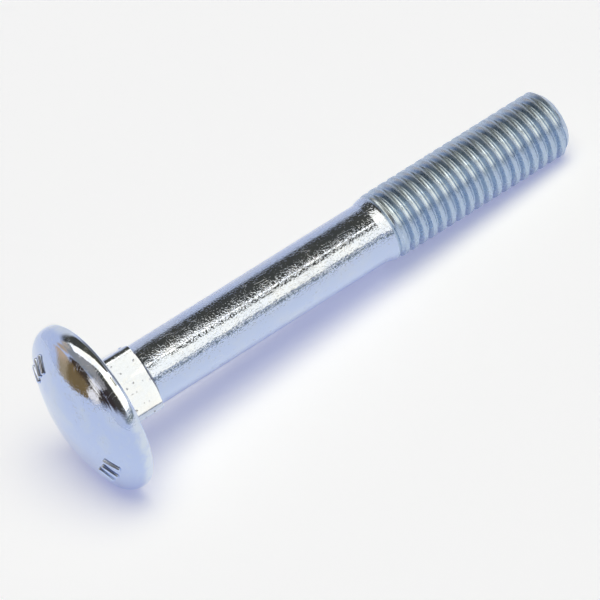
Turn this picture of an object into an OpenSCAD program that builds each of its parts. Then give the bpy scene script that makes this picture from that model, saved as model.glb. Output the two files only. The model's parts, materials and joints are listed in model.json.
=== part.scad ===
// Carriage bolt: domed head, square neck, plain shank and a threaded end, forged in one piece.
// It lies on its side as it comes to rest: the edge of its head and the end of its thread
// touch the plane z = 0, and the axis falls towards +X, where the thread is.
// All sizes are in millimetres.

/* [Head] */
// Width of the head across its rim
head_d = 19.4; // [18:0.1:21]
// Rise of the dome above the rim band
dome_rise = 3.7; // [2.8:0.1:4.4]
// Height of the straight band at the rim
band_h = 0.8; // [0.3:0.1:1.2]
// Radius of the shoulder where the dome turns into the band
shoulder_r = 1.8; // [0.6:0.1:2.2]
// Radius of the edge under the rim
rim_r = 0.25; // [0.1:0.05:0.3]

/* [Raised marks on the head] */
// Number of bars in each of the two groups
mark_count = 3; // [1:1:5]
// Length of a bar, along the radius
mark_len = 2.2; // [1:0.1:3]
// Width of a bar
mark_w = 0.6; // [0.4:0.1:1]
// Height of a bar above the dome
mark_h = 0.25; // [0.1:0.05:0.35]
// Distance of the bars' middle from the axis
mark_dist = 6.6; // [5:0.1:7.2]
// Angle between two bars, in degrees
mark_step = 14; // [10:1:24]
// Angle of the first group about the axis, in degrees
mark_turn = 132; // [0:1:180]

/* [Square neck] */
// Width of the neck across its flats
neck_w = 7.5; // [7.2:0.1:8.6]
// Length of the neck under the head
neck_len = 4.9; // [4.2:0.1:6.8]
// Radius of the neck's four long edges
neck_r = 0.8; // [0.4:0.1:1.4]
// Length of the bevel that ends the four edges
neck_bevel = 0.4; // [0.3:0.1:1.5]
// Turn of the neck about the axis, in degrees
neck_turn = 54; // [0:0.5:90]

/* [Shank and thread] */
// Length of the bolt under its head
length = 60; // [40:1:100]
// Width of the plain shank
shank_d = 7.05; // [6.6:0.05:7.2]
// Outer width of the thread
thread_d = 7.8; // [7.7:0.05:8]
// Length of the threaded end, its run-out and point included
thread_len = 24; // [18:1:34]
// Length of the cone between the shank and the thread
runout_len = 1.2; // [0.8:0.1:2]
// Length of the bevel at the point
point_len = 0.8; // [0.5:0.1:1.2]
// Width of the flat end of the point
point_d = 6.2; // [5.4:0.1:6.6]

/* [Hidden] */
$fn = 96;

head_r = head_d / 2;
thread_r = thread_d / 2;
head_h = dome_rise + band_h;

// The crown's arc is tangent to the shoulder's arc, which is tangent to the band.
shoulder_in = head_r - shoulder_r;
crown_r = (pow(dome_rise, 2) + pow(shoulder_in, 2) - pow(shoulder_r, 2)) / (2 * (dome_rise - shoulder_r));
crown_z = crown_r - head_h;
crown_edge = crown_r * sin(atan2(shoulder_in, crown_r - dome_rise));

// The bolt rests on the rounded edge of its head and on the corner of its thread's bevel.
rest_span = length - point_len + rim_r;
rest_fall = head_r - rim_r - thread_r;
rest_tilt = atan2(rest_fall, rest_span) + asin(rim_r / norm([rest_fall, rest_span]));
rest_h = (head_r - rim_r) * cos(rest_tilt) - rim_r * sin(rest_tilt) + rim_r;

// The middle of the lying bolt's length is over the origin.
back_x = crown_z * cos(rest_tilt) - crown_r;
front_x = length * cos(rest_tilt) + point_d / 2 * sin(rest_tilt);
rest_x = -(back_x + front_x) / 2;

// Overlap that joins one solid to the next
weld = 0.5;

// Half of the head's section: the axis is the line x = 0 and the underside is the line y = 0.
module head_section() {
    intersection() {
        translate([0, crown_z]) circle(crown_r);
        translate([0, -head_h - weld]) square([crown_edge, head_h + weld]);
    }
    intersection() {
        translate([shoulder_in, -band_h]) circle(shoulder_r);
        translate([crown_edge - weld, -head_h]) square([head_r, head_h - band_h]);
    }
    translate([0, -band_h]) square([head_r, band_h - rim_r]);
    translate([0, -rim_r]) square([head_r - rim_r, rim_r]);
    intersection() {
        translate([head_r - rim_r, -rim_r]) circle(rim_r);
        translate([head_r - rim_r, -rim_r]) square([rim_r, rim_r]);
    }
}

// One group of raised bars, cut from a ball that stands a little proud of the dome
module mark_group() {
    intersection() {
        translate([0, 0, crown_z]) sphere(crown_r + mark_h);
        for (i = [0 : mark_count - 1])
            rotate([0, 0, (i - (mark_count - 1) / 2) * mark_step])
                translate([mark_dist - mark_len / 2, -mark_w / 2, -head_h - weld])
                    cube([mark_len, mark_w, head_h]);
    }
}

module head() {
    rotate_extrude() head_section();
    for (side = [0, 180])
        rotate([0, 0, mark_turn + side]) mark_group();
}

// A square with four round corners
module round_square(w, r) {
    square([w, w - 2 * r], center = true);
    square([w - 2 * r, w], center = true);
    for (x = [-1, 1], y = [-1, 1])
        translate([x * (w / 2 - r), y * (w / 2 - r)]) circle(r);
}

// The four edges end in a bevel that leaves the flats at their full width.
module neck() {
    corner_r = (neck_w / 2 - neck_r) * sqrt(2) + neck_r;
    intersection() {
        rotate([0, 0, neck_turn]) translate([0, 0, -weld])
            linear_extrude(neck_len + weld) round_square(neck_w, neck_r);
        union() {
            translate([0, 0, -2 * weld]) cylinder(r = corner_r + weld, h = neck_len - neck_bevel + 2 * weld);
            translate([0, 0, neck_len - neck_bevel])
                cylinder(r1 = corner_r + weld, r2 = neck_w / 2 + weld / 4, h = neck_bevel + weld / 4);
        }
    }
}

// The shank is rolled to a smaller width than the thread, whose ridges are finished elsewhere.
module shank() {
    thread_z = length - thread_len;
    translate([0, 0, -weld]) cylinder(d = shank_d, h = thread_z + 2 * weld);
    translate([0, 0, thread_z]) cylinder(d1 = shank_d, d2 = thread_d, h = runout_len);
    translate([0, 0, thread_z + runout_len])
        cylinder(d = thread_d, h = thread_len - runout_len - point_len);
    translate([0, 0, length - point_len]) cylinder(d1 = thread_d, d2 = point_d, h = point_len);
}

module bolt() {
    color("silver")
        translate([rest_x, 0, rest_h]) rotate([0, 90 + rest_tilt, 0]) {
            head();
            neck();
            shank();
        }
}

bolt();
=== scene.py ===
import json
import math

import bmesh
import bpy
from mathutils import Matrix, Vector


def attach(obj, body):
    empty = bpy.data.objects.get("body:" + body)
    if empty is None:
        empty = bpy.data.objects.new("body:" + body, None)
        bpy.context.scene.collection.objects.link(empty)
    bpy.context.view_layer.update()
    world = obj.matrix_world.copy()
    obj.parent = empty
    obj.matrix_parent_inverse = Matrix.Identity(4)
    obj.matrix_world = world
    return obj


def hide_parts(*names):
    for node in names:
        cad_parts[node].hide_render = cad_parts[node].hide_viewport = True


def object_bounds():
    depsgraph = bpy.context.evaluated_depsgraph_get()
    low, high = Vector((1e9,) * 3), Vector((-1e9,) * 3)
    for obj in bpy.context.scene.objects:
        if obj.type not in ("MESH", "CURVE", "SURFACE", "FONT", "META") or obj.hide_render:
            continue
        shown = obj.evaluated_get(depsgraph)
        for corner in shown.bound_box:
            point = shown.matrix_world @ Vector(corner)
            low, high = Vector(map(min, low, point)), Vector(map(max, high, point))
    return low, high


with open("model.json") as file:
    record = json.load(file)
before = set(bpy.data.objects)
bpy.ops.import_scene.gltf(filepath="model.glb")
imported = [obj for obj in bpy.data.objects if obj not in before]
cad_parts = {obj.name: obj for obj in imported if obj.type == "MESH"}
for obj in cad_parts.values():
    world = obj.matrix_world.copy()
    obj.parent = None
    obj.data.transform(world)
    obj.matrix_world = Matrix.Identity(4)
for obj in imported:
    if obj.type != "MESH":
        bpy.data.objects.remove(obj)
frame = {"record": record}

scene = bpy.context.scene
mm = 0.001
cadBox = [list(corner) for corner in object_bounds()]

# The mounts say how the bolt lies: its axis, and the middles of its neck and thread.
mounts = {mount["name"]: mount for mount in frame["record"]["mounts"]}
boltAxis = Vector(mounts["thread"]["axis"]).normalized()
neckLength = mounts["square_neck"]["dims"]["length_mm"] * mm
underHead = Vector(mounts["square_neck"]["pos_m"]) - boltAxis * neckLength / 2
boltTurn = Matrix((Vector((0, 1, 0)).cross(boltAxis), (0, 1, 0), boltAxis)).transposed()


def pickOnly(*pieces):
    bpy.ops.object.select_all(action="DESELECT")
    for piece in pieces:
        piece.select_set(True)
    bpy.context.view_layer.objects.active = pieces[0]


def startEditing(piece):
    pickOnly(piece)
    bpy.ops.object.mode_set(mode="EDIT")
    bpy.ops.mesh.select_mode(type="VERT")
    return bmesh.from_edit_mesh(piece.data)


def stopEditing():
    bpy.ops.object.mode_set(mode="OBJECT")


def applyModifier(piece, modifier):
    pickOnly(piece)
    bpy.ops.object.modifier_apply(modifier=modifier.name)


def easeBetween(low, high, value):
    share = min(1.0, max(0.0, (value - low) / (high - low)))
    return share * share * (3 - 2 * share)


# Head, neck and shank are one circle, drawn out ring by ring from the top of the dome.
boltBody = {
    "headRadius": 9.694 * mm,
    "domeRise": 3.7 * mm,
    "bandHeight": 0.8 * mm,
    "shoulderRadius": 1.8 * mm,
    "rimRadius": 0.6 * mm,
    "neckWidth": 7.5 * mm,
    "neckCorner": 0.8 * mm,
    "bevelTop": 4.05 * mm,       # radius that the bevel leaves at the neck's end
    "bevelSlope": 3.6,           # how fast the bevel widens, across per along
    "neckTurn": 54.0,            # degrees about the bolt's axis
    "neckFillet": 0.3 * mm,
    "shankFillet": 0.3 * mm,
    "shankRadius": 3.525 * mm,
    "flatPoints": 20,            # points of a ring along each flat of the neck
    "cornerPoints": 12,          # and round each corner
    "crownRings": 18,
    "shoulderRings": 8,
    "filletRings": 5,
    "shankRings": 16,
    "threadGap": 0.03 * mm,      # bridged when the thread is joined on
}


def ringAngles(body):
    # more points go round the neck's corners than a plain circle would give them
    cornerStart = math.atan2(body["neckWidth"] / 2 - body["neckCorner"], body["neckWidth"] / 2)
    angles = []
    for side in range(4):
        middle = math.radians(body["neckTurn"]) + side * math.pi / 2
        flatStep = 2 * cornerStart / body["flatPoints"]
        angles += [middle - cornerStart + flatStep * i for i in range(body["flatPoints"])]
        cornerStep = (math.pi / 2 - 2 * cornerStart) / body["cornerPoints"]
        angles += [middle + cornerStart + cornerStep * i for i in range(body["cornerPoints"])]
    return angles


def squareRadius(angle, body, grow=0.0):
    # from the axis to the neck's outline, or to one that stands outside it by grow
    width, corner = body["neckWidth"] + 2 * grow, body["neckCorner"] + grow
    fromFlat = angle - math.radians(body["neckTurn"])
    fold = (fromFlat + math.pi / 4) % (math.pi / 2) - math.pi / 4
    flat = width / 2 - corner
    if abs(fold) <= math.atan2(flat, width / 2):
        return width / 2 / math.cos(fold)
    along = flat * (math.cos(fold) + math.sin(abs(fold)))
    return along + math.sqrt(max(0.0, corner ** 2 - 2 * flat ** 2 + along ** 2))


def crownRadius(body):
    # the dome's sphere meets the shoulder's round without a kink
    shoulder, rise = body["shoulderRadius"], body["domeRise"]
    shoulderIn = body["headRadius"] - shoulder
    return (rise ** 2 + shoulderIn ** 2 - shoulder ** 2) / (2 * (rise - shoulder))


def bodyRings(body):
    # each ring is a pair of functions of the angle: distance from the axis, and height
    rings = []

    def roundRing(radius, height):
        rings.append((lambda angle: radius, lambda angle: height))

    def squareRing(grow, height):
        rings.append((lambda angle: squareRadius(angle, body, grow), lambda angle: height))

    headRadius, shoulder, band = body["headRadius"], body["shoulderRadius"], body["bandHeight"]
    shoulderIn = headRadius - shoulder
    rise, crown = body["domeRise"], crownRadius(body)
    meet = math.atan2(shoulderIn, crown - rise)
    for i in range(1, body["crownRings"] + 1):
        turn = meet * i / body["crownRings"]
        roundRing(crown * math.sin(turn), crown - rise - band - crown * math.cos(turn))
    for i in range(1, body["shoulderRings"] + 1):
        turn = meet + (math.pi / 2 - meet) * i / body["shoulderRings"]
        roundRing(shoulderIn + shoulder * math.sin(turn), -band - shoulder * math.cos(turn))
    rim = body["rimRadius"]
    for i in range(body["filletRings"] + 1):
        turn = math.pi / 2 * i / body["filletRings"]
        roundRing(headRadius - rim + rim * math.cos(turn), -rim + rim * math.sin(turn))
    neckFillet = body["neckFillet"]
    for share in (0.3, 0.6, 0.85):
        rings.append((
            lambda angle, share=share: (1 - share) * (headRadius - rim)
            + share * squareRadius(angle, body, neckFillet),
            lambda angle: 0.0))
    for i in range(body["filletRings"] + 1):
        turn = math.pi / 2 * i / body["filletRings"]
        squareRing(neckFillet * (1 - math.sin(turn)), neckFillet * (1 - math.cos(turn)))
    for share in (0.3, 0.6, 0.85):
        squareRing(0.0, neckFillet + (neckLength - neckFillet) * share * 0.8)

    def bevelHeight(angle):
        over = squareRadius(angle, body) - body["bevelTop"]
        return neckLength - max(0.0, over) / body["bevelSlope"]

    rings.append((lambda angle: squareRadius(angle, body), bevelHeight))
    rings.append((lambda angle: min(squareRadius(angle, body), body["bevelTop"]),
                  lambda angle: neckLength))
    shank, shankFillet = body["shankRadius"], body["shankFillet"]
    for i in range(body["filletRings"] + 1):
        turn = math.pi / 2 * i / body["filletRings"]
        roundRing(shank + shankFillet * (1 - math.sin(turn)), neckLength + shankFillet * (1 - math.cos(turn)))
    plain = threadStart - neckLength - shankFillet
    for i in range(1, body["shankRings"] + 1):
        roundRing(shank, neckLength + shankFillet + plain * i / (body["shankRings"] + 0.3))
    roundRing(shank, threadStart - body["threadGap"])
    return rings


def makeBody(body):
    rings = bodyRings(body)
    angles = ringAngles(body)
    bpy.ops.object.select_all(action="DESELECT")
    bpy.ops.mesh.primitive_circle_add(vertices=len(angles), radius=mm, fill_type="TRIFAN")
    piece = bpy.context.object
    piece.name = "carriageBolt"
    mesh = startEditing(piece)
    outer = sorted((v for v in mesh.verts if v.co.length > mm / 2), key=lambda v: v.index)
    hub = next(v for v in mesh.verts if v.co.length <= mm / 2)
    hub.co.z = -(body["domeRise"] + body["bandHeight"])
    radiusAt, heightAt = rings[0]
    for corner, angle in zip(outer, angles):
        radius = radiusAt(angle)
        corner.co = (radius * math.cos(angle), radius * math.sin(angle), heightAt(angle))
    hub.select_set(False)
    mesh.select_flush(False)
    bmesh.update_edit_mesh(piece.data)
    for radiusAt, heightAt in rings[1:]:
        bpy.ops.mesh.extrude_region_move()
        mesh = bmesh.from_edit_mesh(piece.data)
        for corner in (v for v in mesh.verts if v.select):
            angle = math.atan2(corner.co.y, corner.co.x)
            radius = radiusAt(angle)
            corner.co = (radius * math.cos(angle), radius * math.sin(angle), heightAt(angle))
        bmesh.update_edit_mesh(piece.data)
    bpy.ops.mesh.select_all(action="SELECT")
    bpy.ops.mesh.remove_doubles(threshold=0.001 * mm)
    stopEditing()
    return piece


# The thread is one tooth's outline, wound up the shank.
boltThread = {
    "majorRadius": 3.9 * mm,
    "pitch": 1.25 * mm,
    "lipOffset": 0.19 * mm,      # a rolled crest has two lips with a shallow groove between them
    "lipRadius": 0.06 * mm,
    "lipTurn": 0.7,              # radians that a lip's round goes on into the groove
    "grooveDepth": 0.030 * mm,
    "rootRadius": 0.14 * mm,
    "flankAngle": 60,            # degrees between a flank and the bolt's axis
    "firstCrest": 0.181 * mm,    # where a crest stands at angle 0, less whole pitches
    "length": 24.8 * mm,
    "coneLength": 1.1 * mm,      # smooth cone between the shank and the first ridge
    "coneRadius": 3.80 * mm,
    "grooveFrom": 0.9 * mm,      # the grooves start here
    "runout": 2.3 * mm,          # and have their full depth here
    "pointLength": 0.8 * mm,
    "pointRadius": 3.09 * mm,
    "stepsPerTurn": 96,
    "arcPoints": 5,
    "dish": ((0.86, 0.0), (0.74, 0.08 * mm), (0.5, 0.2 * mm), (0.25, 0.27 * mm), (0.05, 0.29 * mm)),
}

boltLength = (Vector(mounts["thread"]["pos_m"]) - underHead).dot(boltAxis) \
    + mounts["thread"]["dims"]["length_mm"] * mm / 2 + boltThread["pointLength"]
threadStart = boltLength - boltThread["length"]


def toothOutline(thread):
    # radius and height from the middle of one crest to the next
    steep = math.radians(thread["flankAngle"])
    lip, root, pitch = thread["lipRadius"], thread["rootRadius"], thread["pitch"]
    flankRun = pitch / 2 - thread["lipOffset"] - (lip + root) * math.sin(steep)
    flankDrop = flankRun * math.tan(steep)
    top = thread["majorRadius"]
    rootCentre = top - lip * (1 - math.cos(steep)) - flankDrop + root * math.cos(steep)
    count = thread["arcPoints"]
    half = [(top - thread["grooveDepth"], 0.0),
            (top - 0.85 * thread["grooveDepth"], 0.3 * thread["lipOffset"])]
    for i in range(count):
        turn = (steep + thread["lipTurn"]) * i / (count - 1) - thread["lipTurn"]
        half.append((top - lip * (1 - math.cos(turn)), thread["lipOffset"] + lip * math.sin(turn)))
    edge = half[-1]
    foot = (rootCentre - root * math.cos(steep), pitch / 2 - root * math.sin(steep))
    for share in (0.12, 0.88):
        half.append((edge[0] + (foot[0] - edge[0]) * share, edge[1] + (foot[1] - edge[1]) * share))
    for i in range(count):
        turn = steep * (1 - i / (count - 1))
        half.append((rootCentre - root * math.cos(turn), pitch / 2 - root * math.sin(turn)))
    return half + [(radius, pitch - height) for radius, height in reversed(half[:-1])]


def makeThread(thread, body):
    outline = toothOutline(thread)
    pitch = thread["pitch"]
    below = math.floor((threadStart - pitch - thread["firstCrest"]) / pitch)
    bottom = thread["firstCrest"] + below * pitch
    turns = math.ceil((boltLength + pitch - bottom) / pitch)
    mesh = bpy.data.meshes.new("thread")
    points = [(radius, 0.0, bottom + height) for radius, height in outline]
    mesh.from_pydata(points, [(i, i + 1) for i in range(len(points) - 1)], [])
    piece = bpy.data.objects.new("thread", mesh)
    scene.collection.objects.link(piece)
    winding = piece.modifiers.new("winding", "SCREW")
    winding.axis = "Z"
    winding.angle = 2 * math.pi
    winding.screw_offset = pitch
    winding.iterations = turns
    winding.steps = winding.render_steps = thread["stepsPerTurn"]
    winding.use_merge_vertices = False
    applyModifier(piece, winding)

    startEditing(piece)
    bpy.ops.mesh.select_all(action="SELECT")
    bpy.ops.mesh.remove_doubles(threshold=0.002 * mm)
    mesh = bmesh.from_edit_mesh(piece.data)
    slope = (thread["majorRadius"] - thread["pointRadius"]) / thread["pointLength"]
    for corner in mesh.verts:
        radius = math.hypot(corner.co.x, corner.co.y)
        height = corner.co.z
        cone = min(1.0, max(0.0, (height - threadStart) / thread["coneLength"]))
        smooth = body["shankRadius"] + (thread["coneRadius"] - body["shankRadius"]) * cone
        grown = easeBetween(threadStart + thread["grooveFrom"], threadStart + thread["runout"], height)
        wanted = smooth + (radius - smooth) * grown
        wanted = min(wanted, thread["pointRadius"] + slope * (boltLength - height))
        corner.co.x *= wanted / radius
        corner.co.y *= wanted / radius
    bmesh.update_edit_mesh(piece.data)
    for height, side in ((threadStart, "low"), (boltLength, "high")):
        bpy.ops.mesh.select_all(action="SELECT")
        bpy.ops.mesh.bisect(plane_co=(0, 0, height), plane_no=(0, 0, 1), use_fill=side == "high",
                            clear_inner=side == "low", clear_outer=side == "high",
                            threshold=0.0001 * mm)
    stopEditing()
    return piece


def dishPoint(piece, thread):
    # the rolled end is slightly hollow: its flat face is drawn in and sunk, ring by ring
    mesh = startEditing(piece)
    bpy.ops.mesh.select_all(action="DESELECT")
    end = max(mesh.faces, key=lambda face: len(face.verts))
    end.select_set(True)
    bmesh.update_edit_mesh(piece.data)
    for share, sunk in thread["dish"]:
        bpy.ops.mesh.extrude_region_move()
        mesh = bmesh.from_edit_mesh(piece.data)
        for corner in (v for v in mesh.verts if v.select):
            angle = math.atan2(corner.co.y, corner.co.x)
            radius = thread["pointRadius"] * share
            corner.co = (radius * math.cos(angle), radius * math.sin(angle), boltLength - sunk)
        bmesh.update_edit_mesh(piece.data)
    stopEditing()


def joinThread(piece, thread):
    pickOnly(piece, thread)
    bpy.ops.object.join()
    startEditing(piece)
    bpy.ops.mesh.select_all(action="DESELECT")
    bpy.ops.mesh.select_non_manifold(extend=False, use_wire=False, use_boundary=True,
                                     use_multi_face=False, use_non_contiguous=False, use_verts=False)
    bpy.ops.mesh.bridge_edge_loops()
    bpy.ops.mesh.select_all(action="SELECT")
    bpy.ops.mesh.normals_make_consistent(inside=False)
    stopEditing()


raisedMarks = {
    "groups": 2,
    "perGroup": 3,
    "length": 2.2 * mm,
    "width": 0.6 * mm,
    "height": 0.25 * mm,
    "distance": 6.6 * mm,
    "step": 14,                  # degrees between two bars
    "turn": 132,                 # degrees to the first group
    "edge": 0.24 * mm,
}


def makeMark(marks, body, turn):
    # a bar lying on the dome along a radius, with soft edges
    crown = crownRadius(body)
    lean = math.asin(marks["distance"] / crown)
    thick = 3 * marks["height"]
    bpy.ops.object.select_all(action="DESELECT")
    bpy.ops.mesh.primitive_cube_add(size=1)
    bar = bpy.context.object
    startEditing(bar)
    bpy.ops.mesh.select_all(action="SELECT")
    bpy.ops.transform.resize(value=(marks["length"], marks["width"], thick))
    bpy.ops.mesh.bevel(offset=marks["edge"], segments=3, affect="EDGES")
    stopEditing()
    centre = crown + marks["height"] - thick / 2
    place = Matrix.Rotation(turn, 4, "Z") \
        @ Matrix.Translation((0, 0, crown - body["domeRise"] - body["bandHeight"])) \
        @ Matrix.Rotation(math.pi - lean, 4, "Y") @ Matrix.Translation((0, 0, centre))
    bar.data.transform(place)
    return bar


def addMarks(piece, marks, body):
    bars = []
    for group in range(marks["groups"]):
        for i in range(marks["perGroup"]):
            turn = marks["turn"] + 360 / marks["groups"] * group
            turn += marks["step"] * (i - (marks["perGroup"] - 1) / 2)
            bars.append(makeMark(marks, body, math.radians(turn)))
    pickOnly(*bars)
    bpy.ops.object.join()
    bars = bpy.context.object
    union = piece.modifiers.new("marks", "BOOLEAN")
    union.operation = "UNION"
    union.solver = "MANIFOLD"
    union.object = bars
    applyModifier(piece, union)
    bpy.data.objects.remove(bars)


def layDown(piece):
    # upright to lying: the bolt's axis and place come from the mounts
    piece.data.transform(Matrix.Translation(underHead) @ boltTurn.to_4x4())
    piece.data.update()


print("stage: bolt mesh")
bolt = makeBody(boltBody)
thread = makeThread(boltThread, boltBody)
dishPoint(thread, boltThread)
joinThread(bolt, thread)
addMarks(bolt, raisedMarks, boltBody)
layDown(bolt)
pickOnly(bolt)
bpy.ops.object.shade_smooth_by_angle(angle=math.radians(35))
triangles = sum(len(face.vertices) - 2 for face in bolt.data.polygons)
print("bolt:", len(bolt.data.vertices), "points,", triangles, "triangles")
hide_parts("bolt")
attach(bolt, "root")

# "to" and the painted-light bands are places along the bolt, in millimetres from the head's underside. The
# four places of a band are where it starts to show, is in full, starts to fade and has gone.
zincFinish = {
    "head": {
        "to": 0.3,
        "paintedLightBands": ((-1.7, -0.8, 98, 99, (0.69, 0.76, 0.84, 1)),),    # a lighter tone over the rim: painted highlight
        "blue": (0.48, 0.58, 0.84, 1), "straw": (0.55, 0.63, 0.80, 1),
        "grainSize": 4.5, "grainStretch": (1, 1, 1), "grainHeight": 0.002,
        "waveHeight": 0.03, "polished": 0.035, "dull": 0.08, "scratches": 0.6, "pits": 0.12,
    },
    "neck": {
        "to": 4.95,
        "blue": (0.53, 0.61, 0.79, 1), "straw": (0.58, 0.63, 0.74, 1),
        "grainSize": 4.0, "grainStretch": (1, 1, 0.7), "grainHeight": 0.005,
        "waveHeight": 0.03, "polished": 0.07, "dull": 0.20, "scratches": 0.35, "pits": 1.0,
    },
    "shank": {
        "to": 36.3,
        "paintedLightBands": ((4.8, 4.9, 5.1, 5.3, (0.12, 0.13, 0.15, 1)),),    # painted shade: a dark line in the corner at the neck
        "blue": (0.51, 0.60, 0.81, 1), "straw": (0.56, 0.63, 0.78, 1),
        "grainSize": 6.0, "grainStretch": (1, 1, 0.8), "grainHeight": 0.010,
        "waveHeight": 0.01, "polished": 0.03, "dull": 0.10, "scratches": 0.8, "pits": 0.25,
    },
    "thread": {
        "to": 99.0,
        # how far the ridges are paled: worn plate and painted highlight
        "edgeWear": 0.45,
        "blue": (0.43, 0.53, 0.69, 1), "straw": (0.45, 0.55, 0.68, 1),
        "grainSize": 4.5, "grainStretch": (0.6, 0.6, 2.5), "grainHeight": 0.001,
        "waveHeight": 0.01, "polished": 0.24, "dull": 0.36, "scratches": 0.3, "pits": 0.2,
    },
}

# tones of worn and marked zinc; the pale edge tone is partly a painted highlight, and the hollow tone is
# painted shade
wearAndShadeTones = {
    "edge": (0.70, 0.78, 0.92, 1),
    "hollowShade": (0.20, 0.24, 0.32, 1),
    "pit": (0.22, 0.22, 0.24, 1),
    "scratch": (0.80, 0.82, 0.86, 1),
}


def newGroup(name, inputs, outputs):
    group = bpy.data.node_groups.new(name, "ShaderNodeTree")
    for title, kind, value in inputs:
        socket = group.interface.new_socket(name=title, in_out="INPUT", socket_type=kind)
        if value is not None:
            socket.default_value = value
    for title, kind in outputs:
        group.interface.new_socket(name=title, in_out="OUTPUT", socket_type=kind)
    return group, group.nodes.new("NodeGroupInput"), group.nodes.new("NodeGroupOutput")


def addMath(tree, operation, first, second=None):
    node = tree.nodes.new("ShaderNodeMath")
    node.operation = operation
    for socket, value in zip(node.inputs, (first, second)):
        if value is None:
            continue
        if isinstance(value, (int, float)):
            socket.default_value = value
        else:
            tree.links.new(value, socket)
    return node.outputs[0]


def addNoise(tree, vector, scale, detail, roughness=0.5, distortion=0.0):
    node = tree.nodes.new("ShaderNodeTexNoise")
    tree.links.new(vector, node.inputs["Vector"])
    if isinstance(scale, (int, float)):
        node.inputs["Scale"].default_value = scale
    else:
        tree.links.new(scale, node.inputs["Scale"])
    node.inputs["Detail"].default_value = detail
    node.inputs["Roughness"].default_value = roughness
    node.inputs["Distortion"].default_value = distortion
    return node.outputs["Fac"]


def addStep(tree, value, low, high, toLow=0.0, toHigh=1.0):
    node = tree.nodes.new("ShaderNodeMapRange")
    node.interpolation_type = "SMOOTHSTEP"
    tree.links.new(value, node.inputs["Value"])
    for title, number in (("From Min", low), ("From Max", high), ("To Min", toLow), ("To Max", toHigh)):
        if isinstance(number, (int, float)):
            node.inputs[title].default_value = number
        else:
            tree.links.new(number, node.inputs[title])
    return node.outputs["Result"]


def addMix(tree, amount, first, second):
    node = tree.nodes.new("ShaderNodeMix")
    node.data_type = "RGBA"
    if isinstance(amount, (int, float)):
        node.inputs["Factor"].default_value = amount
    else:
        tree.links.new(amount, node.inputs["Factor"])
    for title, value in (("A", first), ("B", second)):
        if isinstance(value, tuple):
            node.inputs[title].default_value = value
        else:
            tree.links.new(value, node.inputs[title])
    return node.outputs["Result"]


def makePlatingGrain():
    # fine crystals of the plate: a height to bump, and a roughness that varies with them
    group, given, made = newGroup("platingGrain", (
        ("Vector", "NodeSocketVector", None), ("Scale", "NodeSocketFloat", 4.0),
        ("Polished", "NodeSocketFloat", 0.12), ("Dull", "NodeSocketFloat", 0.3)),
        (("Height", "NodeSocketFloat"), ("Roughness", "NodeSocketFloat")))
    fine = addNoise(group, given.outputs["Vector"], given.outputs["Scale"], 1.0, 0.5)
    broad = addNoise(group, given.outputs["Vector"], 0.7, 3.0, 0.55)
    both = addMath(group, "ADD", addMath(group, "MULTIPLY", fine, 0.55),
                   addMath(group, "MULTIPLY", broad, 0.45))
    rough = addStep(group, both, 0.36, 0.66, given.outputs["Polished"], given.outputs["Dull"])
    group.links.new(addStep(group, fine, 0.46, 0.72), made.inputs["Height"])
    group.links.new(rough, made.inputs["Roughness"])
    return group


def makeZincTint():
    # the chromate film drifts between blue and faint straw over several millimetres
    group, given, made = newGroup("zincTint", (
        ("Vector", "NodeSocketVector", None), ("Blue", "NodeSocketColor", (0.55, 0.64, 0.81, 1)),
        ("Straw", "NodeSocketColor", (0.7, 0.7, 0.72, 1))), (("Color", "NodeSocketColor"),))
    drift = addNoise(group, given.outputs["Vector"], 0.22, 2.0, 0.5, 0.4)
    mottle = addNoise(group, given.outputs["Vector"], 1.6, 3.0, 0.6)
    amount = addMath(group, "ADD", addStep(group, drift, 0.42, 0.72, 0.0, 0.75),
                     addStep(group, mottle, 0.48, 0.75, 0.0, 0.4))
    tone = addMix(group, amount, given.outputs["Blue"], given.outputs["Straw"])
    group.links.new(tone, made.inputs["Color"])
    return group


def makeScratches():
    # thin broken lines: where a stretched noise crosses its middle value
    group, given, made = newGroup("handlingScratches", (
        ("Vector", "NodeSocketVector", None),), (("Mask", "NodeSocketFloat"),))
    total = None
    for turn, stretch, width in (((0.4, 0.2, 0.9), (0.5, 3.0, 0.35), 0.010),
                                 ((-0.5, 0.7, -0.3), (2.6, 0.4, 0.5), 0.008)):
        place = group.nodes.new("ShaderNodeMapping")
        place.inputs["Rotation"].default_value = turn
        place.inputs["Scale"].default_value = stretch
        group.links.new(given.outputs["Vector"], place.inputs["Vector"])
        wavy = addNoise(group, place.outputs["Vector"], 0.9, 1.0, 0.4)
        away = addMath(group, "ABSOLUTE", addMath(group, "SUBTRACT", wavy, 0.5))
        line = addStep(group, away, 0.0, width, 1.0, 0.0)
        broken = addStep(group, addNoise(group, given.outputs["Vector"], 0.55, 2.0), 0.52, 0.62)
        part = addMath(group, "MULTIPLY", line, broken)
        total = part if total is None else addMath(group, "MAXIMUM", total, part)
    group.links.new(total, made.inputs["Mask"])
    return group


def makePits():
    # small dark pits, gathered in patches
    group, given, made = newGroup("pits", (
        ("Vector", "NodeSocketVector", None), ("Amount", "NodeSocketFloat", 0.5)),
        (("Mask", "NodeSocketFloat"),))
    bend = addNoise(group, given.outputs["Vector"], 3.0, 2.0)
    shift = group.nodes.new("ShaderNodeVectorMath")
    shift.operation = "MULTIPLY_ADD"
    shift.inputs[1].default_value = (0.5, 0.5, 0.5)
    group.links.new(bend, shift.inputs[0])
    group.links.new(given.outputs["Vector"], shift.inputs[2])
    cells = group.nodes.new("ShaderNodeTexVoronoi")
    cells.inputs["Scale"].default_value = 1.5
    group.links.new(shift.outputs["Vector"], cells.inputs["Vector"])
    pit = addStep(group, cells.outputs["Distance"], 0.10, 0.24, 1.0, 0.0)
    patch = addStep(group, addNoise(group, given.outputs["Vector"], 0.5, 2.0), 0.46, 0.57)
    mask = addMath(group, "MULTIPLY", addMath(group, "MULTIPLY", pit, patch), given.outputs["Amount"])
    group.links.new(mask, made.inputs["Mask"])
    return group


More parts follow.
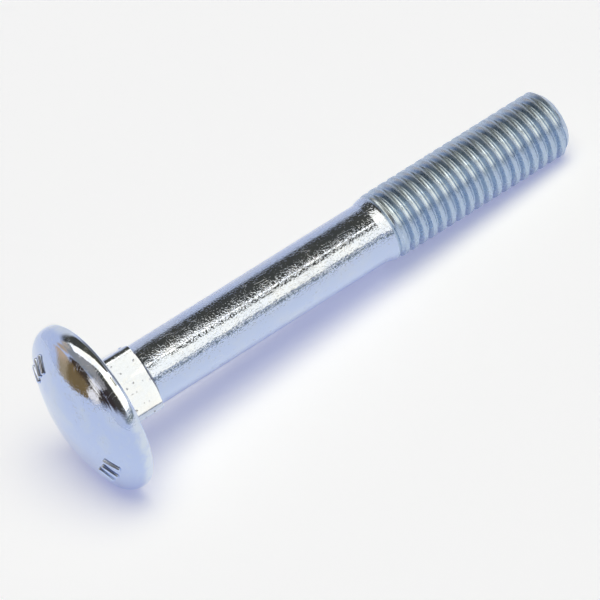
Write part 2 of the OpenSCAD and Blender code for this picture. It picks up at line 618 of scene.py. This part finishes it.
def makeEdgeWear():
    # ridges come out pale, partly as worn plate and partly as painted highlight, and hollows come out dark
    # with painted shade
    group, given, made = newGroup("edgeWear", (
        ("Color", "NodeSocketColor", (0.55, 0.64, 0.81, 1)), ("Wear", "NodeSocketFloat", 0.35)),
        (("Color", "NodeSocketColor"),))
    geometry = group.nodes.new("ShaderNodeNewGeometry")
    # pale ridges: worn plate and painted highlight
    edge = addStep(group, geometry.outputs["Pointiness"], 0.52, 0.60)
    # painted shade in the hollows
    hollowShade = addStep(group, geometry.outputs["Pointiness"], 0.40, 0.48, 1.0, 0.0)
    pale = addMix(group, addMath(group, "MULTIPLY", edge, given.outputs["Wear"]),
                  given.outputs["Color"], wearAndShadeTones["edge"])
    dark = addMix(group, addMath(group, "MULTIPLY", hollowShade, 0.45), pale, wearAndShadeTones["hollowShade"])
    group.links.new(dark, made.inputs["Color"])
    return group


def makeToneBand():
    # a ring of another tone round the bolt, between two places along it, with a blotchy edge; here it paints
    # a highlight on the head's rim and shade in the corner at the neck
    group, given, made = newGroup("toneBand", (
        ("Vector", "NodeSocketVector", None), ("Color", "NodeSocketColor", (0.55, 0.64, 0.81, 1)),
        ("Tone", "NodeSocketColor", (0.7, 0.7, 0.72, 1)), ("Start", "NodeSocketFloat", 0.0),
        ("Full", "NodeSocketFloat", 1.0), ("Fade", "NodeSocketFloat", 2.0),
        ("End", "NodeSocketFloat", 3.0)), (("Color", "NodeSocketColor"),))
    along = group.nodes.new("ShaderNodeSeparateXYZ")
    group.links.new(given.outputs["Vector"], along.inputs["Vector"])
    begun = addStep(group, along.outputs["Z"], given.outputs["Start"], given.outputs["Full"])
    left = addStep(group, along.outputs["Z"], given.outputs["Fade"], given.outputs["End"], 1.0, 0.0)
    inside = addMath(group, "MULTIPLY", begun, left)
    uneven = addStep(group, addNoise(group, given.outputs["Vector"], 0.8, 3.0), 0.3, 0.6, 0.25, 0.8)
    toned = addMix(group, addMath(group, "MULTIPLY", inside, uneven),
                   given.outputs["Color"], given.outputs["Tone"])
    group.links.new(toned, made.inputs["Color"])
    return group


def placeGroup(tree, group, **values):
    node = tree.nodes.new("ShaderNodeGroup")
    node.node_tree = group
    for title, value in values.items():
        if isinstance(value, bpy.types.NodeSocket):
            tree.links.new(value, node.inputs[title])
        else:
            node.inputs[title].default_value = value
    return node


platingGrain = makePlatingGrain()
zincTint = makeZincTint()
handlingScratches = makeScratches()
pits = makePits()
edgeWear = makeEdgeWear()
toneBand = makeToneBand()


def makeZinc(name, finish):
    material = bpy.data.materials.new(name)
    material.use_nodes = True
    tree = material.node_tree
    shader = tree.nodes["Principled BSDF"]
    where = tree.nodes.new("ShaderNodeTexCoord")
    upright = tree.nodes.new("ShaderNodeMapping")
    upright.vector_type = "TEXTURE"
    upright.inputs["Location"].default_value = underHead
    upright.inputs["Rotation"].default_value = boltTurn.to_euler()
    upright.inputs["Scale"].default_value = (mm, mm, mm)
    tree.links.new(where.outputs["Object"], upright.inputs["Vector"])
    inBolt = upright.outputs["Vector"]
    stretched = tree.nodes.new("ShaderNodeMapping")
    stretched.inputs["Scale"].default_value = finish["grainStretch"]
    tree.links.new(inBolt, stretched.inputs["Vector"])

    grain = placeGroup(tree, platingGrain, Vector=stretched.outputs["Vector"], Scale=finish["grainSize"],
                       Polished=finish["polished"], Dull=finish["dull"])
    tint = placeGroup(tree, zincTint, Vector=inBolt, Blue=finish["blue"], Straw=finish["straw"])
    scratch = placeGroup(tree, handlingScratches, Vector=inBolt)
    pit = placeGroup(tree, pits, Vector=inBolt, Amount=finish["pits"])

    # pale ridges are worn plate and painted highlight; dark hollows are painted shade
    wearSheenAndShade = placeGroup(tree, edgeWear, Color=tint.outputs["Color"], Wear=finish.get("edgeWear", 0.35))
    pitted = addMix(tree, addMath(tree, "MULTIPLY", pit.outputs["Mask"], 0.75),
                    wearSheenAndShade.outputs["Color"], wearAndShadeTones["pit"])
    marked = addMix(tree, addMath(tree, "MULTIPLY", scratch.outputs["Mask"], 0.35 * finish["scratches"]),
                    pitted, wearAndShadeTones["scratch"])
    for start, full, fade, end, tone in finish.get("paintedLightBands", ()):
        ring = placeGroup(tree, toneBand, Vector=inBolt, Color=marked, Tone=tone, Start=start, Full=full,
                          Fade=fade, End=end)
        marked = ring.outputs["Color"]
    tree.links.new(marked, shader.inputs["Base Color"])

    rough = addMath(tree, "ADD", grain.outputs["Roughness"],
                    addMath(tree, "MULTIPLY", scratch.outputs["Mask"], 0.22 * finish["scratches"]))
    rough = addMath(tree, "ADD", rough, addMath(tree, "MULTIPLY", pit.outputs["Mask"], 0.3))
    tree.links.new(addMath(tree, "MINIMUM", rough, 0.8), shader.inputs["Roughness"])
    shader.inputs["Metallic"].default_value = 1

    wave = addNoise(tree, inBolt, 0.45, 1.0)
    height = addMath(tree, "ADD", addMath(tree, "MULTIPLY", grain.outputs["Height"], finish["grainHeight"]),
                     addMath(tree, "MULTIPLY", wave, finish["waveHeight"]))
    height = addMath(tree, "SUBTRACT", height,
                     addMath(tree, "MULTIPLY", scratch.outputs["Mask"], 0.006 * finish["scratches"]))
    height = addMath(tree, "SUBTRACT", height, addMath(tree, "MULTIPLY", pit.outputs["Mask"], 0.02))
    bump = tree.nodes.new("ShaderNodeBump")
    bump.inputs["Strength"].default_value = 1
    bump.inputs["Distance"].default_value = mm
    tree.links.new(height, bump.inputs["Height"])
    tree.links.new(bump.outputs["Normal"], shader.inputs["Normal"])
    return material


print("stage: zinc finishes")
bolt.data.materials.clear()
for name in zincFinish:
    bolt.data.materials.append(makeZinc("zinc" + name.capitalize(), zincFinish[name]))
for face in bolt.data.polygons:
    along = (face.center - underHead).dot(boltAxis) / mm
    face.material_index = next(i for i, finish in enumerate(zincFinish.values()) if along < finish["to"])

print("stage: floor, light and camera")
studio = {
    "paper": 0.904,
    "paperReach": 0.107,                      # metres from the middle that bright metal sees as paper
    "glow": (0.245, 0.25, 0.365, 1),          # share of the paper's brightness that shadows leave
    "fill": (0.09, 0.115, 0.20, 1),           # soft light from all round
    "key": (4.16, 4.00, 2.86, 1),             # and the broad light overhead
    "keyFrom": (0.10, -0.28, 0.95),
    "low": (0.78, 0.79, 0.84, 1),             # what bright metal sees near the horizon
    "high": (0.085, 0.079, 0.060, 1),         # and above it
    "riseFrom": 0.47, "riseTo": 0.66,         # sines of the elevations between them
    "sill": (0.28, 0.31, 0.29, 1),            # a dim line low in front
    "sillHeight": 0.05,                       # sine of its elevation
    "backdrop": (0.91, 0.91, 0.91, 1),
}
glossPatches = (
    # azimuth and elevation, inner and outer half-angle, colour: what else the metal sees
    ((24, 30), 14, 24, (0.11, 0.10, 0.08, 1)),
    ((-14, 27), 11, 23, (0.16, 0.14, 0.115, 1)),
    ((-30, 36), 16, 33, (0.088, 0.073, 0.055, 1)),
    ((-60, 27), 12, 22, (0.070, 0.050, 0.040, 1)),
    ((-86, 13), 8, 14, (0.066, 0.045, 0.037, 1)),
    ((-97, 3), 4, 8, (0.080, 0.056, 0.045, 1)),
    ((106, 12), 16, 30, (0.20, 0.20, 0.22, 1)),
    ((55, 39), 5, 9, (1.25, 1.10, 0.86, 1)),
    ((-122, 50), 20, 34, (0.42, 0.39, 0.32, 1)),
    ((-95, 62), 12, 26, (0.50, 0.43, 0.33, 1)),
    ((-110, 9), 15, 20, (0.10, 0.07, 0.045, 1)),
    ((-133, -4), 5, 10, (0.58, 0.41, 0.21, 1)),
    ((-122, -4), 8, 11, (0.30, 0.185, 0.07, 1)),
    ((-120, 8), 5, 9, (0.09, 0.055, 0.03, 1)),
    ((-138, 2), 3, 8, (0.85, 0.56, 0.31, 1)),
    ((-140, 20), 5, 11, (0.76, 0.52, 0.30, 1)),
    ((-149, 38), 5, 12, (0.74, 0.56, 0.36, 1)),
    ((-110, -5), 3, 5, (1.50, 1.25, 0.94, 1)),
    ((-105, 4), 3.5, 6, (1.78, 1.48, 1.06, 1)),
    ((-98, 15), 4, 8, (1.60, 1.34, 0.98, 1)),
    ((-90, 25), 4, 8, (1.45, 1.22, 0.95, 1)),
    ((-80, 33), 4, 9, (1.05, 0.90, 0.70, 1)),
    ((-66, 43), 4, 11, (0.66, 0.56, 0.43, 1)),
    ((-50, 51), 5, 12, (0.45, 0.38, 0.30, 1)),
)


def toward(azimuth, elevation):
    azimuth, elevation = math.radians(azimuth), math.radians(elevation)
    return Vector((math.sin(azimuth) * math.cos(elevation), -math.cos(azimuth) * math.cos(elevation),
                   math.sin(elevation)))


def facing(tree, vector, direction, inner, outer):
    # 1 within the inner half-angle of a direction, 0 past the outer one
    dot = tree.nodes.new("ShaderNodeVectorMath")
    dot.operation = "DOT_PRODUCT"
    dot.inputs[1].default_value = Vector(direction).normalized()
    tree.links.new(vector, dot.inputs[0])
    return addStep(tree, dot.outputs["Value"], math.cos(math.radians(outer)), math.cos(math.radians(inner)))


def makeFloor():
    bpy.ops.object.select_all(action="DESELECT")
    bpy.ops.mesh.primitive_plane_add(size=6, location=(0, 0, cadBox[0][2]))
    floor = bpy.context.object
    floor.name = "floor"
    paper = bpy.data.materials.new("paper")
    paper.use_nodes = True
    shader = paper.node_tree.nodes["Principled BSDF"]
    shader.inputs["Base Color"].default_value = (studio["paper"], studio["paper"], studio["paper"], 1)
    shader.inputs["Roughness"].default_value = 0.9
    shader.inputs["Specular IOR Level"].default_value = 0.1
    tree = paper.node_tree
    rays = tree.nodes.new("ShaderNodeLightPath")
    where = tree.nodes.new("ShaderNodeTexCoord")
    reach = tree.nodes.new("ShaderNodeVectorMath")
    reach.operation = "LENGTH"
    tree.links.new(where.outputs["Object"], reach.inputs[0])
    beyond = addStep(tree, reach.outputs["Value"], studio["paperReach"], studio["paperReach"] * 1.08)
    gone = addMath(tree, "MULTIPLY", rays.outputs["Is Glossy Ray"], beyond)
    seen = addMath(tree, "MAXIMUM", rays.outputs["Is Camera Ray"], rays.outputs["Is Glossy Ray"])
    shader.inputs["Emission Color"].default_value = studio["glow"]
    tree.links.new(addMath(tree, "MULTIPLY", seen, studio["paper"]), shader.inputs["Emission Strength"])
    clear = tree.nodes.new("ShaderNodeBsdfTransparent")
    either = tree.nodes.new("ShaderNodeMixShader")
    tree.links.new(gone, either.inputs["Fac"])
    tree.links.new(shader.outputs["BSDF"], either.inputs[1])
    tree.links.new(clear.outputs["BSDF"], either.inputs[2])
    tree.links.new(either.outputs["Shader"], tree.nodes["Material Output"].inputs["Surface"])
    floor.data.materials.append(paper)


def makeWorld():
    world = bpy.data.worlds.new("studio")
    scene.world = world
    world.use_nodes = True
    tree = world.node_tree
    tree.nodes.clear()
    out = tree.nodes.new("ShaderNodeOutputWorld")
    where = tree.nodes.new("ShaderNodeTexCoord")
    toSky = where.outputs["Generated"]
    split = tree.nodes.new("ShaderNodeSeparateXYZ")
    tree.links.new(toSky, split.inputs["Vector"])
    high = addStep(tree, split.outputs["Z"], studio["riseFrom"], studio["riseTo"])
    gloss = addMix(tree, high, studio["low"], studio["high"])
    away = addMath(tree, "ABSOLUTE", addMath(tree, "SUBTRACT", split.outputs["Z"], studio["sillHeight"]))
    sill = addMath(tree, "MULTIPLY", addStep(tree, away, 0.05, 0.10, 1.0, 0.0),
                   facing(tree, toSky, toward(10, 0), 25, 50))
    gloss = addMix(tree, sill, gloss, studio["sill"])
    for direction, inner, outer, colour in glossPatches:
        gloss = addMix(tree, facing(tree, toSky, toward(*direction), inner, outer), gloss, colour)
    soft = addMix(tree, facing(tree, toSky, studio["keyFrom"], 8, 34), studio["fill"], studio["key"])
    rays = tree.nodes.new("ShaderNodeLightPath")
    lit = addMix(tree, rays.outputs["Is Glossy Ray"], soft, gloss)
    seen = addMix(tree, rays.outputs["Is Camera Ray"], lit, studio["backdrop"])
    sky = tree.nodes.new("ShaderNodeBackground")
    tree.links.new(seen, sky.inputs["Color"])
    tree.links.new(sky.outputs["Background"], out.inputs["Surface"])


softboxes = {
    "window": {"place": (0.0355, -0.0911, 0.0582), "aim": (0.0355, -0.0111, -0.0058),
               "size": (0.129, 0.0555), "spin": 0, "colour": (1.62, 1.45, 1.11)},
    "windowEnd": {"place": (-0.0028, -0.0575, 0.1001), "aim": (-0.0028, 0.0225, 0.0361),
                  "size": (0.0495, 0.052), "spin": 0, "colour": (1.62, 1.45, 1.11)},
    "strip": {"place": (0.044, -0.0537, 0.1048), "aim": (0.044, 0.0263, 0.0408),
              "size": (0.112, 0.012), "spin": 0, "colour": (2.50, 2.25, 1.80)},
    "panel": {"place": (-0.0245, 0.0111, 0.21), "aim": (-0.0245, 0.0111, 0),
              "size": (0.086, 0.28), "spin": 33, "colour": (1.60, 1.42, 1.10)},
}


def addSoftbox(name, place, aim, size, spin, colour):
    # only bright metal sees it: the world does the lighting
    light = bpy.data.lights.new(name, "AREA")
    light.shape = "RECTANGLE"
    light.size, light.size_y = size
    light.energy = math.pi * size[0] * size[1]
    light.color = colour
    box = bpy.data.objects.new(name, light)
    scene.collection.objects.link(box)
    box.location = place
    turned = (Vector(place) - Vector(aim)).to_track_quat("Z", "Y").to_matrix()
    box.rotation_euler = (turned @ Matrix.Rotation(math.radians(spin), 3, "Z")).to_euler()
    box.visible_camera = False
    box.visible_diffuse = False
    return box


makeFloor()
makeWorld()
for name, softbox in softboxes.items():
    addSoftbox(name, **softbox)

view = {
    "azimuth": -21.19,
    "elevation": 38.20,
    "roll": 23.27,
    "distance": 0.498,
    "aim": (-3.32 * mm, -1.25 * mm, 5.68 * mm),
    "lens": 284,
}
camera = bpy.data.objects.new("camera", bpy.data.cameras.new("camera"))
scene.collection.objects.link(camera)
back = toward(view["azimuth"], view["elevation"])
camera.location = Vector(view["aim"]) + back * view["distance"]
camera.rotation_mode = "QUATERNION"
turn = Matrix.Rotation(math.radians(-view["roll"]), 3, "Z").to_quaternion()
camera.rotation_quaternion = (-back).to_track_quat("-Z", "Y") @ turn
camera.data.lens = view["lens"]
camera.data.clip_start, camera.data.clip_end = 0.01, 20
scene.camera = camera
scene.view_settings.view_transform = "Standard"
